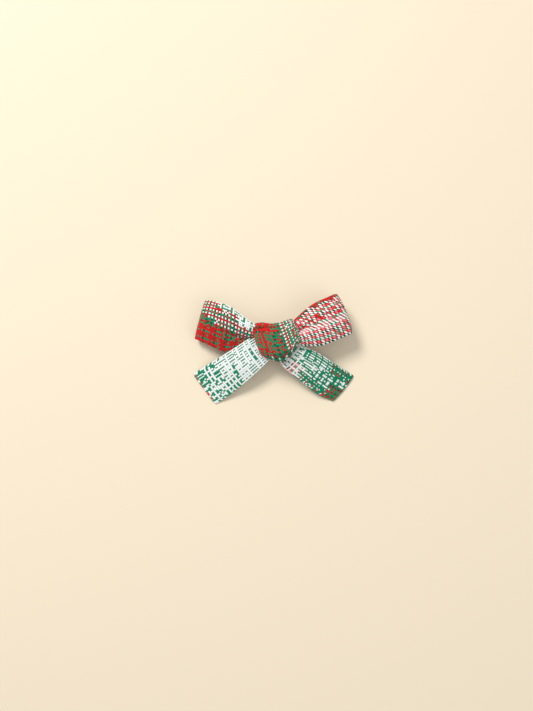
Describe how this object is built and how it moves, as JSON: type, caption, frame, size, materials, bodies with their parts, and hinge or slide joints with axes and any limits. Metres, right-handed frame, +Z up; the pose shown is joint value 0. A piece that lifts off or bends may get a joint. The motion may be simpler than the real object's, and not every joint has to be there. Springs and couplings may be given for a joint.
{
  "type": "hair bow",
  "caption": "Hand-tied plaid cloth hair bow: loops, tails and a wrapped knot, glued to a lined, sprung steel alligator clip.",
  "frame": {"origin": "on the surface the bow lies on, at the centre of its outline seen from above", "axes": "+X along the clip towards its thumb tabs and across the bow, +Y towards the loops' side, +Z up, out of the front of the knot"},
  "size_m": [0.0981, 0.0659, 0.0219],
  "materials": {
    "plaid_cloth": "open plain-weave cotton in red, green and white yarns, matt",
    "lining_ribbon": "cream grosgrain ribbon, fine cross ribs",
    "clip_steel": "nickel-plated pressed steel strip",
    "spring_steel": "bright drawn spring wire",
    "hot_glue": "translucent milky hot-melt glue"
  },
  "bodies": {
    "bow": {"knot_strap": "plaid_cloth", "knot_core": "plaid_cloth", "left_loop": "plaid_cloth", "right_loop": "plaid_cloth", "left_tail": "plaid_cloth", "right_tail": "plaid_cloth", "clip_lining": "lining_ribbon", "glue_pad": "hot_glue", "clip_top_blade": "clip_steel", "clip_pivot_pin": "clip_steel", "clip_spring": "spring_steel"},
    "bottom_jaw": {"clip_bottom_jaw": "clip_steel"}
  },
  "joints": [
    {"name": "clip_pivot", "type": "hinge", "parent": "bow", "child": "bottom_jaw", "pos_m": [0.0079, 0.01085, 0.0066], "axis": [0, -1, 0], "range_deg": [0, 26], "stiffness_Nm_per_rad": 0.06, "springref_deg": -68.75, "deforming": ["clip_spring"]}
  ]
}
